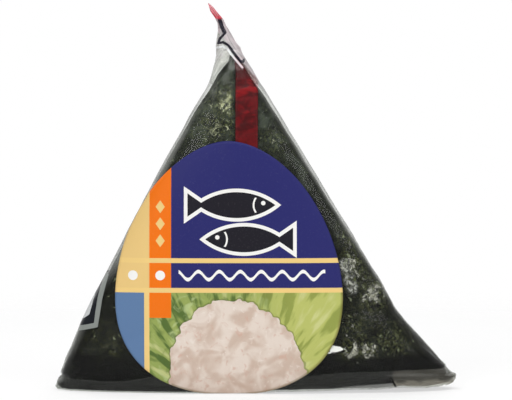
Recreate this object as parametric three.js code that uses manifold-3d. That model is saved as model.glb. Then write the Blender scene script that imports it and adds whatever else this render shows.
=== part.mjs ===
// A triangular rice ball in its shop pack, standing on its base. Rice wrapped in a sheet of
// dried seaweed is sealed in clear film. The film ends in a pleated tail over the apex and is
// gathered into a pointed ear at each bottom corner. An egg-shaped paper label is stuck on the
// front, and a red tear strip runs up the front, over the apex and down the back.
// Millimetres, +Z up, +X to the right. The front face looks along -Y, and the origin is on the
// ground under the middle of the pack.

import * as THREE from "three";
import { mergeVertices } from "three/addons/utils/BufferGeometryUtils.js";
import Module from "manifold-3d";

const wasm = await Module();
wasm.setup();

// Driving dimensions
const PACK_HALF_WIDTH = 50; // from the middle to either ear's tip
const FACE_HALF_DEPTH = 16.4; // half the thickness in the middle of the faces
const FACE_DOME = 0.9; // how much thinner the faces are near their rim
const TAIL_TOP = 97.6; // tip of the film tail

const LABEL_HALF_WIDTH = 28.2;
const LABEL_CENTRE_X = -6.7;
const LABEL_WIDEST_Z = 24.3;
const LABEL_RISE = 38.9; // from the widest line to the label's top
const LABEL_DROP = 23.8; // from the widest line to the label's bottom
const LABEL_TOP_POWER = 1.8; // under 2 is more pointed than an ellipse
const LABEL_BOTTOM_POWER = 2.3; // over 2 is squarer than an ellipse

const STRIP_LEFT = -5.1;
const STRIP_RIGHT = 0.4;
const STRIP_BACK_END_Z = 4; // the front end is at the label's top

// Stuck-on pieces float this far off the pack and are this thick
const STUCK_GAP = 0.35;
const STUCK_THICKNESS = 0.4;
const STRIP_TO_LABEL = 0.5; // bare film between the strip's front end and the label

// Mesh steps
const FACE_RINGS = 10;
const RING_CROWDING = 1.8; // over 1 crowds the rings towards the rim
const BAND_STATIONS = [-0.55, -0.34, 0, 0.34, 0.55]; // across the side between the two faces
const SEAM_HALF_SHARE = 0.35; // the film's overlap covers this share of the side's half width
const SEAM_RELIEF = 0.45;
const EGG_STEPS = 56;
const SAME_POINT = 1e-4; // vertices closer than this are one

// The front outline, corner by corner and clockwise from the left ear. depth is half the
// thickness at the corner, and soft is how early the face starts to fall towards it (a lower
// number is earlier). The stretch that leads on from a corner bows outwards by bow, gets
// thicker by belly and crisper by crisp in its middle, has a seam or not, and takes steps.
const HALF = PACK_HALF_WIDTH;
const CORNERS = [
  { x: -HALF, z: 2.6, depth: 1.7, soft: 2.6, bow: 1.1, belly: 7.6, crisp: 3.2, seam: 1, steps: 22 },
  { x: -12.3, z: 77.6, depth: 4.6, soft: 3.6, bow: 0.3, belly: 0, crisp: 0, seam: 0, steps: 4 },
  { x: -9.9, z: 85.6, depth: 3.4, soft: 3.4, bow: 0.9, belly: 0, crisp: 0, seam: 0, steps: 3 },
  { x: -4.4, z: 86.2, depth: 3.4, soft: 3.4, bow: 0.1, belly: 7.0, crisp: 2.4, seam: 1, steps: 21 },
  { x: 35.2, z: 20.6, depth: 6.4, soft: 3.4, bow: -0.2, belly: 0, crisp: 0, seam: 0, steps: 6 },
  { x: 49.2, z: 5.6, depth: 1.6, soft: 2.4, bow: 0.1, belly: 0, crisp: 0, seam: 0, steps: 1 },
  { x: HALF, z: 4.4, depth: 1.4, soft: 2.4, bow: 0.3, belly: 0, crisp: 0, seam: 0, steps: 2 },
  { x: 47.2, z: 2.0, depth: 1.6, soft: 2.5, bow: 0.2, belly: 0, crisp: 0, seam: 0, steps: 3 },
  { x: 41.0, z: 0, depth: 4.2, soft: 3.0, bow: 0, belly: 7.4, crisp: 3.0, seam: 0, steps: 22 },
  { x: -46.4, z: 0, depth: 2.6, soft: 2.8, bow: 0.1, belly: 0, crisp: 0, seam: 0, steps: 2 },
  { x: -49.5, z: 1.0, depth: 1.7, soft: 2.6, bow: 0.1, belly: 0, crisp: 0, seam: 0, steps: 1 },
];
const MIDDLE = new THREE.Vector2(-2, 31); // the faces' rings close in on this point
const BELLY_POWER = 0.55; // under 1 makes the thickening reach further along its stretch
const CRISP_POWER = 2; // over 1 leaves no crease across the face at the corners

// The way outwards, to the left of a line that runs clockwise from one point to another.
function outwardsOf(a, b) {
  const along = b.clone().sub(a).normalize();
  return new THREE.Vector2(-along.y, along.x);
}

// The outline's points with, at each, the half depth, softness, seam height and way outwards.
function outlineStations() {
  const stations = [];
  CORNERS.forEach((from, i) => {
    const to = CORNERS[(i + 1) % CORNERS.length];
    const a = new THREE.Vector2(from.x, from.z);
    const b = new THREE.Vector2(to.x, to.z);
    // A curve's control point lies twice as far out as the curve's own middle
    const control = a.clone().lerp(b, 0.5).addScaledVector(outwardsOf(a, b), 2 * from.bow);
    const curve = new THREE.QuadraticBezierCurve(a, control, b);
    for (let k = 0; k < from.steps; k++) {
      const t = k / from.steps;
      const swell = Math.sin(Math.PI * t);
      stations.push({
        point: curve.getPoint(t),
        depth: THREE.MathUtils.lerp(from.depth, to.depth, t) + from.belly * swell ** BELLY_POWER,
        soft: THREE.MathUtils.lerp(from.soft, to.soft, t) + from.crisp * swell ** CRISP_POWER,
        seam: from.seam * swell * SEAM_RELIEF,
      });
    }
  });
  stations.forEach((station, i) => {
    const next = stations[(i + 1) % stations.length].point;
    const last = stations[(i + stations.length - 1) % stations.length].point;
    station.outwards = outwardsOf(last, next);
  });
  return stations;
}

// Half the thickness at a share of the way from the faces' middle out to the rim.
function halfDepth(station, share) {
  const rounding = Math.sqrt(Math.max(0, 1 - share ** station.soft));
  const face = FACE_HALF_DEPTH - FACE_DOME * share * share;
  return station.depth + (face - station.depth) * rounding;
}

// Adds a point to a flat list of coordinates and returns its number.
function addVertex(positions, x, y, z) {
  positions.push(x, y, z);
  return positions.length / 3 - 1;
}

function indexedGeometry(positions, index) {
  const geometry = new THREE.BufferGeometry();
  geometry.setAttribute("position", new THREE.Float32BufferAttribute(positions, 3));
  geometry.setIndex(index);
  return geometry;
}

// The pack as one closed mesh: rings out over the front, across the side and in over the back.
function pillowGeometry() {
  const stations = outlineStations();
  const positions = [];
  const rows = [];
  const addRow = (place) => {
    rows.push(stations.map((station) => addVertex(positions, ...place(station))));
  };
  const faceRow = (share, side) => (station) => {
    const p = MIDDLE.clone().lerp(station.point, share);
    return [p.x, side * halfDepth(station, share), p.y];
  };
  const shares = Array.from(
    { length: FACE_RINGS },
    (_, k) => 1 - (1 - (k + 1) / FACE_RINGS) ** RING_CROWDING,
  );
  const front = addVertex(positions, MIDDLE.x, -FACE_HALF_DEPTH, MIDDLE.y);
  shares.forEach((share) => addRow(faceRow(share, -1)));
  BAND_STATIONS.forEach((across) => {
    const raised = Math.abs(across) < SEAM_HALF_SHARE ? 1 : 0;
    addRow((station) => {
      const p = station.point.clone().addScaledVector(station.outwards, raised * station.seam);
      return [p.x, across * station.depth, p.y];
    });
  });
  shares.toReversed().forEach((share) => addRow(faceRow(share, 1)));
  const back = addVertex(positions, MIDDLE.x, FACE_HALF_DEPTH, MIDDLE.y);

  const index = [];
  const count = stations.length;
  for (let j = 0; j < count; j++) {
    const k = (j + 1) % count;
    index.push(front, rows[0][k], rows[0][j]);
    for (let r = 0; r + 1 < rows.length; r++) {
      index.push(rows[r][j], rows[r + 1][k], rows[r + 1][j]);
      index.push(rows[r][j], rows[r][k], rows[r + 1][k]);
    }
    index.push(back, rows.at(-1)[j], rows.at(-1)[k]);
  }
  return indexedGeometry(positions, index);
}

// A closed geometry as a manifold-3d solid, and back.
function solidOf(geometry) {
  const bare = new THREE.BufferGeometry();
  bare.setAttribute("position", geometry.getAttribute("position"));
  bare.setIndex(geometry.getIndex());
  const merged = mergeVertices(bare, SAME_POINT);
  return new wasm.Manifold(
    new wasm.Mesh({
      numProp: 3,
      vertProperties: new Float32Array(merged.attributes.position.array),
      triVerts: new Uint32Array(merged.index.array),
    }),
  );
}

function geometryOf(solid) {
  const mesh = solid.getMesh();
  const geometry = new THREE.BufferGeometry();
  geometry.setAttribute("position", new THREE.BufferAttribute(mesh.vertProperties, 3));
  geometry.setIndex(new THREE.BufferAttribute(mesh.triVerts, 1));
  return geometry;
}

// The same surface moved outwards, so that stuck-on pieces follow the pack exactly.
function grown(geometry, distance) {
  const moved = geometry.clone();
  moved.computeVertexNormals();
  const position = moved.getAttribute("position");
  const normal = moved.getAttribute("normal");
  for (let i = 0; i < position.count; i++) {
    position.setXYZ(
      i,
      position.getX(i) + distance * normal.getX(i),
      position.getY(i) + distance * normal.getY(i),
      position.getZ(i) + distance * normal.getZ(i),
    );
  }
  return solidOf(moved);
}

// An outline drawn in X and Z, as a prism from one Y to another.
function uprightPrism(points, fromY, toY) {
  const outline = new THREE.Shape(points.map(([x, z]) => new THREE.Vector2(x, z)));
  const prism = new THREE.ExtrudeGeometry(outline, { depth: toY - fromY, bevelEnabled: false });
  prism.rotateX(Math.PI / 2); // the drawing's upright becomes +Z and its depth runs along -Y
  prism.translate(0, toY, 0);
  const plain = new THREE.BufferGeometry();
  plain.setAttribute("position", prism.getAttribute("position"));
  return solidOf(mergeVertices(plain, SAME_POINT));
}

// The label's egg outline: a superellipse above its widest line and another below it.
function eggPoints() {
  const power = (value, n) => Math.sign(value) * Math.abs(value) ** (2 / n);
  return Array.from({ length: EGG_STEPS }, (_, i) => {
    const turn = (2 * Math.PI * i) / EGG_STEPS;
    const upper = Math.sin(turn) > 0;
    const n = upper ? LABEL_TOP_POWER : LABEL_BOTTOM_POWER;
    const reach = upper ? LABEL_RISE : LABEL_DROP;
    return [
      LABEL_CENTRE_X + LABEL_HALF_WIDTH * power(Math.cos(turn), n),
      LABEL_WIDEST_Z + reach * power(Math.sin(turn), n),
    ];
  });
}

// The film tail: flattened, pleated rings along a curve that leans left over the apex. Half
// sizes across and through the film; the foot's ring lies inside the pack.
const TAIL_RING = 14;
const PLEAT_VALLEY = 0.82; // a pleat's valley, as a share of its ridge's distance
const TAIL_SLOPE = -0.25; // each ring falls by this much to the right
const TIP_LEAN = -0.7; // the tip, from the last ring's middle
const TAIL_STOPS = [
  { x: -6.2, z: 79.5, wide: 3.4, deep: 4.6, slope: 0 },
  { x: -7.0, z: 86.5, wide: 3.1, deep: 4.2, slope: TAIL_SLOPE },
  { x: -8.1, z: 90.5, wide: 1.9, deep: 3.4, slope: TAIL_SLOPE },
  { x: -8.9, z: 93.4, wide: 1.1, deep: 2.8, slope: TAIL_SLOPE },
  { x: -10.2, z: 95.2, wide: 1.2, deep: 2.2, slope: TAIL_SLOPE },
  { x: -11.2, z: TAIL_TOP - 0.6, wide: 0.7, deep: 1.4, slope: TAIL_SLOPE },
];

function tailSolid(margin) {
  const positions = [];
  const rows = TAIL_STOPS.map((stop) =>
    Array.from({ length: TAIL_RING }, (_, k) => {
      const turn = (2 * Math.PI * k) / TAIL_RING;
      const pleat = k % 2 ? 1 : PLEAT_VALLEY;
      const across = (stop.wide + margin) * Math.cos(turn) * pleat;
      const through = (stop.deep + margin) * Math.sin(turn) * pleat;
      return addVertex(positions, stop.x + across, through, stop.z + stop.slope * across);
    }),
  );
  const first = TAIL_STOPS[0];
  const last = TAIL_STOPS.at(-1);
  const foot = addVertex(positions, first.x, 0, first.z);
  const tip = addVertex(positions, last.x + TIP_LEAN, 0, TAIL_TOP + margin);
  const index = [];
  for (let j = 0; j < TAIL_RING; j++) {
    const k = (j + 1) % TAIL_RING;
    index.push(foot, rows[0][k], rows[0][j]);
    for (let r = 0; r + 1 < rows.length; r++) {
      index.push(rows[r][j], rows[r][k], rows[r + 1][k]);
      index.push(rows[r][j], rows[r + 1][k], rows[r + 1][j]);
    }
    index.push(tip, rows.at(-1)[j], rows.at(-1)[k]);
  }
  return solidOf(indexedGeometry(positions, index));
}

// The pack, the label and the strip
const pillow = pillowGeometry();
const pack = solidOf(pillow).add(tailSolid(0));
const skin = grown(pillow, STUCK_GAP + STUCK_THICKNESS).subtract(grown(pillow, STUCK_GAP));
const BEYOND = 60; // further than any face of the pack
const MID_LAP = 0.1; // the front and back cuts run past each other at the middle
const label = skin.intersect(uprightPrism(eggPoints(), -BEYOND, 0));

const stripSlab = (fromZ, fromY, toY) =>
  uprightPrism(
    [
      [STRIP_LEFT, fromZ],
      [STRIP_RIGHT, fromZ],
      [STRIP_RIGHT, TAIL_TOP],
      [STRIP_LEFT, TAIL_TOP],
    ],
    fromY,
    toY,
  );
const STRIP_FRONT_END_Z = LABEL_WIDEST_Z + LABEL_RISE + STRIP_TO_LABEL;
const frontCut = stripSlab(STRIP_FRONT_END_Z, -BEYOND, MID_LAP);
const backCut = stripSlab(STRIP_BACK_END_Z, 0, BEYOND);
const strip = skin.intersect(frontCut.add(backCut)).subtract(tailSolid(STUCK_GAP));

// Materials
const clearFilm = new THREE.MeshStandardMaterial({ color: 0x20261f, roughness: 0.22, metalness: 0 });
const labelPaper = new THREE.MeshStandardMaterial({ color: 0x30326d, roughness: 0.45, metalness: 0 });
const redTape = new THREE.MeshStandardMaterial({ color: 0x6b2423, roughness: 0.3, metalness: 0 });

const model = new THREE.Group();
const addPiece = (name, solid, material) => {
  const mesh = new THREE.Mesh(geometryOf(solid), material);
  mesh.name = name;
  model.add(mesh);
};
addPiece("wrapped_rice_ball", pack, clearFilm);
addPiece("label", label, labelPaper);
addPiece("tear_strip", strip, redTape);

export default model;
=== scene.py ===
# %% [markdown]
# # A rice ball in its shop pack
# The object is a triangle of rice wrapped in dried seaweed and shut in clear film. The film is
# what makes it hard to draw: it hardly shows on the flat faces, sparkles where it crinkles, and
# turns grey along the edges. So the pack is built in layers, as the real one is: a seaweed ball,
# a film bag round it, a pleated tail, a red tear strip and a printed label.
# The solids come first, as a fixed frame, and every layer is worked out from them.

# %% Load the frame
import math

import bmesh
import bpy
import numpy as np
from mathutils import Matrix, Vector
from mathutils.bvhtree import BVHTree


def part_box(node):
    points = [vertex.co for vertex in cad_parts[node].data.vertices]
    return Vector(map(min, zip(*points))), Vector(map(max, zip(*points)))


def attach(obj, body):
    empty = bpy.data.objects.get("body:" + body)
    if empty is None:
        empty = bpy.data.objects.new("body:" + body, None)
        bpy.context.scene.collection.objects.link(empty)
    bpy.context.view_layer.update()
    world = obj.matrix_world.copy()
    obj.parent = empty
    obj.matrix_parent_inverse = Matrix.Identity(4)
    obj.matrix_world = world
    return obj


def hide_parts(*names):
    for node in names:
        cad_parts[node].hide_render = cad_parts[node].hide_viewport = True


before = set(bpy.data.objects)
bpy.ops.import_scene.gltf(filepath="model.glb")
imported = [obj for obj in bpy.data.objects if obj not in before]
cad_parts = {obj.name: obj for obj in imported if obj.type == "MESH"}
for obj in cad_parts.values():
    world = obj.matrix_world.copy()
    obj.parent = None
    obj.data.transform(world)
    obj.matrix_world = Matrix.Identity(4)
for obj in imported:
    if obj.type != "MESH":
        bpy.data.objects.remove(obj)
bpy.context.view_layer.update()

MM = 0.001
label_low, label_high = (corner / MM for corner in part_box("label"))
strip_low, strip_high = (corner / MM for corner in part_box("tear_strip"))

# %% [markdown]
# ## Camera
# The photo is a straight front view from a little above, with hardly any perspective, so the
# camera stands well back with a long lens. The size of the picture on the object is chosen first,
# and the distance follows from it.

# %% Camera
PHOTO_WIDTH = 512
PIXELS_PER_MM = 3.96
LENS = 250
SENSOR = 36
ELEVATION = math.radians(3)
AIM = Vector((0, 0, 47.8))


def in_scene(name, data):
    """A new object of this camera, lamp or mesh, put in the scene."""
    made = bpy.data.objects.new(name, data)
    bpy.context.scene.collection.objects.link(made)
    return made


picture_width = PHOTO_WIDTH / PIXELS_PER_MM
camera_distance = LENS * picture_width / SENSOR
view_direction = Vector((0, math.cos(ELEVATION), -math.sin(ELEVATION)))

camera = in_scene("camera", bpy.data.cameras.new("camera"))
camera.data.lens = LENS
camera.data.sensor_width = SENSOR
camera.location = (AIM - view_direction * camera_distance) * MM
camera.rotation_euler = view_direction.to_track_quat("-Z", "Y").to_euler()
bpy.context.scene.camera = camera
print("camera stands", round(camera_distance), "mm away")

# %% [markdown]
# ## Helpers for colour, meshes and formulas
# Colours are read off a picture as 0 to 255, and Blender wants linear light, so one function
# converts them. Patterns are easier to read as formulas than as a web of nodes: a Field wraps a
# socket and turns +, -, * and / into Math nodes, in a material and in Geometry Nodes alike.

# %% Colour and formulas
def srgb(red, green, blue):
    """A colour of 0 to 255 as Blender's linear numbers."""
    def linear(value):
        share = value / 255
        return share / 12.92 if share <= 0.04045 else ((share + 0.055) / 1.055) ** 2.4
    return (linear(red), linear(green), linear(blue), 1.0)


def both_ways(operation):
    """Methods for an operator with the Field on its left, and with the Field on its right."""
    def field_first(self, other):
        return self.pattern.math(operation, self, other)

    def field_last(self, other):
        return self.pattern.math(operation, other, self)
    return field_first, field_last


class Field:
    """A number that varies over a surface, so that a pattern can be written as a formula."""

    __add__, __radd__ = both_ways("ADD")
    __sub__, __rsub__ = both_ways("SUBTRACT")
    __mul__, __rmul__ = both_ways("MULTIPLY")
    __truediv__, __rtruediv__ = both_ways("DIVIDE")

    def __init__(self, pattern, socket):
        self.pattern = pattern
        self.socket = socket

    def at_least(self, other):
        """The larger of the two numbers."""
        return self.pattern.math("MAXIMUM", self, other)

    def at_most(self, other):
        """The smaller of the two numbers."""
        return self.pattern.math("MINIMUM", self, other)

    def apply(self, operation, *others):
        """Any other operation of the Math node, by its name in Blender."""
        return self.pattern.math(operation, self, *others)


class Pattern:
    """A node tree with short calls for the nodes that these materials use."""

    def __init__(self, tree):
        self.tree = tree

    def node(self, kind, settings=None, **inputs):
        made = self.tree.nodes.new(kind)
        for name, value in (settings or {}).items():
            setattr(made, name, value)
        for name, value in inputs.items():
            self.feed(made.inputs[name.replace("_", " ")], value)
        return made

    def feed(self, socket, value):
        if isinstance(value, Field):
            value = value.socket
        if isinstance(value, bpy.types.NodeSocket):
            self.tree.links.new(value, socket)
        else:
            socket.default_value = value

    def math(self, operation, *values):
        made = self.node("ShaderNodeMath", {"operation": operation})
        for socket, value in zip(made.inputs, values):
            self.feed(socket, value)
        return Field(self, made.outputs[0])

    def vector(self, x, y, z):
        return self.node("ShaderNodeCombineXYZ", X=x, Y=y, Z=z).outputs[0]

    def in_mm(self, place):
        """A place in metres as the place in mm, and its x, y and z."""
        scaled = self.node("ShaderNodeVectorMath", {"operation": "SCALE"}, Vector=place, Scale=1 / MM)
        axes = self.node("ShaderNodeSeparateXYZ", Vector=scaled.outputs[0])
        return scaled.outputs[0], *(Field(self, axis) for axis in axes.outputs)

    def noise(self, place, scale, detail=2.0, roughness=0.5, distortion=0.0):
        """Cloudy noise from about 0 to 1. place is in mm and scale in features a mm."""
        made = self.node(
            "ShaderNodeTexNoise", {"noise_dimensions": "3D", "normalize": True},
            Vector=place, Scale=scale, Detail=detail, Roughness=roughness, Distortion=distortion,
        )
        return Field(self, made.outputs["Fac"])

    def attribute(self, name):
        """A number that was written on the mesh's points."""
        return Field(self, self.node("ShaderNodeAttribute", {"attribute_name": name}).outputs["Fac"])

    def step(self, value, start, end):
        """0 up to start, 1 from end on, and smooth between."""
        made = self.node("ShaderNodeMapRange", {"interpolation_type": "SMOOTHSTEP"})
        self.feed(made.inputs["Value"], value)
        made.inputs["From Min"].default_value = start
        made.inputs["From Max"].default_value = end
        return Field(self, made.outputs[0])

    def inside(self, distance):
        """1 where a shape's distance is under 0, as inside it, else 0."""
        return self.math("LESS_THAN", distance, 0.0)

    def mix(self, share, under, over):
        """The colour under, with the colour over laid on it by share."""
        made = self.node("ShaderNodeMix", {"data_type": "RGBA"})
        self.feed(made.inputs[0], share)
        self.feed(made.inputs[6], under)
        self.feed(made.inputs[7], over)
        return made.outputs[2]

    def layered(self, colour, *layers):
        """A colour with others laid over it in turn, each given as (share, colour)."""
        for share, over in layers:
            colour = self.mix(share, colour, over)
        return colour

    def blend(self, share, first, second):
        """Two shaders mixed by share, the second one where it is 1."""
        made = self.tree.nodes.new("ShaderNodeMixShader")
        self.feed(made.inputs[0], share)
        self.feed(made.inputs[1], first.outputs[0])
        self.feed(made.inputs[2], second.outputs[0])
        return made

    def bump(self, height, distance, strength=1.0):
        """A bump of a height from 0 to 1 over distance, in mm."""
        made = self.node("ShaderNodeBump", Strength=strength, Distance=distance * MM)
        self.feed(made.inputs["Height"], height)
        return made.outputs[0]


def material(name, paint):
    """A material whose nodes paint() makes. It gets the pattern and the place in mm."""
    made = bpy.data.materials.new(name)
    made.use_nodes = True
    made.node_tree.nodes.clear()
    pattern = Pattern(made.node_tree)
    place, x, y, z = pattern.in_mm(pattern.node("ShaderNodeTexCoord").outputs["Object"])
    shader = paint(pattern, place, x, y, z)
    output = pattern.node("ShaderNodeOutputMaterial")
    pattern.feed(output.inputs["Surface"], shader.outputs[0])
    return made


# %% Meshes
def new_object(name, points, faces, paint):
    """An object from points in mm and faces, smooth shaded."""
    mesh = bpy.data.meshes.new(name)
    mesh.from_pydata((np.asarray(points) * MM).tolist(), [], faces)
    mesh.polygons.foreach_set("use_smooth", [True] * len(mesh.polygons))
    mesh.update()
    mesh.materials.append(paint)
    return in_scene(name, mesh)


def from_edited(name, work):
    """An object from a mesh that was edited as a bmesh, which is then freed."""
    mesh = bpy.data.meshes.new(name)
    work.to_mesh(mesh)
    work.free()
    return in_scene(name, mesh)


def baked(source):
    """Applies an object's modifiers to its mesh."""
    graph = bpy.context.evaluated_depsgraph_get()
    shaped = source.evaluated_get(graph)
    mesh = bpy.data.meshes.new_from_object(shaped, preserve_all_data_layers=True, depsgraph=graph)
    source.modifiers.clear()
    source.data = mesh
    mesh.name = source.name
    return source


def arrays(source):
    """An object's points in mm and their normals, as arrays."""
    count = len(source.data.vertices)
    points = np.empty(count * 3, np.float32)
    normals = np.empty(count * 3, np.float32)
    source.data.vertices.foreach_get("co", points)
    source.data.vertex_normals.foreach_get("vector", normals)
    return points.reshape(-1, 3).astype(float) / MM, normals.reshape(-1, 3).astype(float)


def set_points(target, points):
    """Moves an object's points to these places, in mm."""
    target.data.vertices.foreach_set("co", (points * MM).astype(np.float32).ravel())
    target.data.update()


def set_attribute(target, name, values):
    """Writes one number for each point, which node trees then read by its name."""
    attribute = target.data.attributes.new(name, "FLOAT", "POINT")
    attribute.data.foreach_set("value", np.asarray(values, np.float32))


def kept_above(target, height):
    """Lifts the points that lie lower than height, in mm, up to it."""
    points, _ = arrays(target)
    points[:, 2] = np.maximum(points[:, 2], height)
    set_points(target, points)


def ridge(distance, width):
    """1 at distance 0, falling smoothly to nothing over a few widths."""
    return np.exp(-((distance / width) ** 2))


def ramp(values, start, end):
    """0 up to start, 1 from end on, and even between."""
    return np.clip((values - start) / (end - start), 0, 1)


# %% [markdown]
# ## The pack's smooth form
# The solid is made of flat facets. A voxel remesh turns it into an even grid of small squares,
# and smoothing rounds the facets away, which leaves a surface that folds and crinkles can be
# pressed into. The tail is cut off first, because it gets a finer form of its own. The solid's sides
# are straight, and those of a real pack aren't quite, so the form is last moved sideways, height by
# height, until its outline in the front view is the one in the photo.

# %% Smooth form
SHOULDER_Z = 85.8
VOXEL = 0.5


def rounded_grid(target, passes):
    """Turns a closed surface into an even grid and rounds it."""
    remesh = target.modifiers.new("grid", "REMESH")
    remesh.mode = "VOXEL"
    remesh.voxel_size = VOXEL * MM
    rounding = target.modifiers.new("rounding", "SMOOTH")
    rounding.iterations = passes
    return baked(target)


def cut_solid(name):
    """The wrapped ball's solid as one joined mesh, cut off level under the tail."""
    work = bmesh.new()
    work.from_mesh(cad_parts["wrapped_rice_ball"].data)
    bmesh.ops.remove_doubles(work, verts=work.verts, dist=0.001 * MM)
    every = work.verts[:] + work.edges[:] + work.faces[:]
    cut = bmesh.ops.bisect_plane(
        work, geom=every, plane_co=(0, 0, SHOULDER_Z * MM), plane_no=(0, 0, 1), clear_outer=True,
    )
    rim = [part for part in cut["geom_cut"] if isinstance(part, bmesh.types.BMEdge)]
    bmesh.ops.holes_fill(work, edges=rim)
    return from_edited(name, work)


def edge_line(points, side):
    """The outline in the front view: x at each height, on the left (-1) or right (+1)."""
    heights = np.arange(0.5, SHOULDER_Z, 1.0)
    edges = []
    for height in heights:
        near = np.abs(points[:, 2] - height) < 0.6
        edges.append(side * np.max(side * points[near, 0]))
    return heights, np.array(edges)


# How far each side of the outline moves to the right, as (height, shift) in mm
LEFT_SHIFTS = np.array([
    (0.4, -1.4), (1.7, -0.3), (2.7, 0.25), (3.2, 0.6), (3.8, 0.7), (4.2, 0.35), (4.6, 0.1), (5.7, 0.1),
    (7.7, -0.15), (12.7, -0.3), (17.7, -0.4), (22.8, -0.25), (25.3, 0.0), (30.3, 0.3), (35.3, 0.5),
    (45.0, 0.6), (72.0, 0.6), (75.5, 0.8), (78.0, 0.7), (80.6, 1.1), (85.5, 1.1),
])
RIGHT_SHIFTS = np.array([
    (0.4, 2.3), (1.7, 2.7), (2.7, 1.45), (3.7, 0.85), (4.2, -0.65), (4.7, -1.3), (5.5, -1.5), (6.2, -0.9),
    (7.2, -1.1), (8.0, -0.9), (10.2, -0.6), (13.5, -0.35), (17.7, -0.4), (22.8, 0.0),
    (35.3, -0.3), (60.5, -0.45), (76.0, -0.1), (80.6, -0.6),
])
# How far the underside is off the floor, as (x, lift) in mm, and the height where that ends
BASE_LIFTS = np.array([
    (-50, -0.4), (-44, -0.2), (-36, -0.7), (-16, -0.7), (-4, -0.3), (4, 0.2), (20, 0.5), (36, 0.9),
    (44, 0.5), (50, -0.5),
])
LIFT_ENDS = 8


def true_to_photo(points):
    """Moves the form's points so that its outline is the one in the photo."""
    left = np.interp(points[:, 2], *edge_line(points, -1))
    right = np.interp(points[:, 2], *edge_line(points, 1))
    share = np.clip((points[:, 0] - left) / (right - left), 0, 1)
    left_shift = np.interp(points[:, 2], *LEFT_SHIFTS.T)
    right_shift = np.interp(points[:, 2], *RIGHT_SHIFTS.T)
    moved = points.copy()
    moved[:, 0] += left_shift + share * (right_shift - left_shift)
    lift = np.interp(points[:, 0], *BASE_LIFTS.T)
    moved[:, 2] += lift * np.clip(1 - points[:, 2] / LIFT_ENDS, 0, 1)
    return moved


form = rounded_grid(cut_solid("form"), passes=5)
set_points(form, true_to_photo(arrays(form)[0]))
form_points, form_normals = arrays(form)
form_tree = BVHTree.FromObject(form, bpy.context.evaluated_depsgraph_get())
left_z, left_x = edge_line(form_points, -1)
right_z, right_x = edge_line(form_points, 1)
print("form:", len(form_points), "points")
print("widest at its foot:", round(right_x.max() - left_x.min(), 1), "mm")

# %% [markdown]
# ## Where the film folds and crinkles
# Film is gathered at three points: the tail and the two ears. Folds run out from each of them and
# die away, so they are a wave of the angle round the point, times a falloff. The crinkles are
# noise, but only in a few places, so each point also gets a number that says how crinkled it is.
# The same numbers shape the seaweed, because the film presses its crinkles into it.

# %% Folds and creases
APEX = np.array([-7.2, 0, 86.5])
LEFT_EAR = np.array([-50, 0, 2.6])
RIGHT_EAR = np.array([50, 0, 4.4])


def gathers(points, centre, across, up, count, reach, height):
    """Folds that run out from a gathered point. across and up are the axes seen along it."""
    offset = points - centre
    turn = np.arctan2(offset[:, across], offset[:, up])
    wander = 0.7 * np.sin(3 * turn + 0.5) + 0.4 * np.sin(8 * turn)
    fade = np.exp(-np.linalg.norm(offset, axis=1) / reach)
    return height * fade * np.sin(count * turn + 2 * wander)


# Each crease runs from one (x, z) to another and has a height, a width and a face: -1 is the front
CREASES = [
    ((17.0, 10.8), (31.0, 11.6), 0.55, 0.7, -1),
    ((20.5, 14.5), (33.5, 8.6), 0.25, 0.6, -1),
    ((22.0, 36.0), (23.9, 25.0), 0.30, 0.7, -1),
    ((23.5, 29.5), (29.5, 22.5), 0.30, 0.6, -1),
    ((27.5, 32.0), (33.0, 21.0), 0.25, 0.6, -1),
    ((30.0, 18.5), (44.0, 7.2), 0.30, 0.8, -1),
    ((34.0, 12.5), (47.0, 5.4), 0.22, 0.6, -1),
    ((-36.0, 22.0), (-46.0, 6.0), 0.22, 0.8, -1),
    ((-31.0, 10.0), (-44.5, 4.5), 0.20, 0.7, -1),
    ((-9.0, 77.0), (-7.6, 66.0), 0.25, 0.6, -1),
    ((-13.5, 72.0), (-11.0, 62.5), 0.18, 0.6, -1),
    ((24.0, 30.0), (43.0, 7.5), 0.40, 0.8, 1),
    ((-27.0, 32.0), (-45.0, 6.0), 0.40, 0.8, 1),
    ((-20.0, 9.0), (22.0, 7.5), 0.25, 0.8, 1),
    ((-14.0, 70.0), (-9.0, 58.0), 0.25, 0.7, 1),
]


def crease_lift(points, normals):
    """How far the straight creases lift each point, in mm."""
    lift = np.zeros(len(points))
    flat = points[:, [0, 2]]
    for start, end, height, width, face in CREASES:
        along = np.subtract(end, start)
        share = np.clip((flat - start) @ along / (along @ along), 0, 1)
        distance = np.linalg.norm(flat - start - share[:, None] * along, axis=1)
        taper = np.sqrt(np.sin(np.pi * np.clip(share, 0.05, 0.95)))
        on_face = np.clip(normals[:, 1] * face * 3 - 1, 0, 1)
        lift += height * taper * ridge(distance, width) * on_face
    return lift


def fold_lift(points, normals):
    """The folds and creases together, in mm outwards."""
    return (
        gathers(points, APEX, 1, 0, count=17, reach=7, height=0.2)
        + gathers(points, LEFT_EAR, 1, 2, count=9, reach=8, height=0.35)
        + gathers(points, RIGHT_EAR, 1, 2, count=9, reach=9, height=0.4)
        + crease_lift(points, normals)
    )


# %% Crinkled places
# Each place is its middle in x and z, its radius and how crinkled it is
CRINKLED = [
    (-6.7, 72.5, 4.5, 1.0),
    (-9, 65.5, 6, 0.84),
    (4, 63, 4, 0.5),
    (24, 39, 5, 0.5),
    (22.5, 31, 5, 1.0),
    (29.5, 25, 4, 1.0),
    (24.0, 10.6, 3.0, 1.0),
    (27.8, 11.0, 2.8, 1.0),
    (24, 17, 5, 0.5),
    (34, 13, 5, 0.5),
    (-36, 12, 7, 0.3),
]
CALM = 0.08
LABEL_CALM = 1.1
STRIP_MIDDLE_X = (strip_low.x + strip_high.x) / 2
STRIP_HALF_WIDTH = (strip_high.x - strip_low.x) / 2

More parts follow.
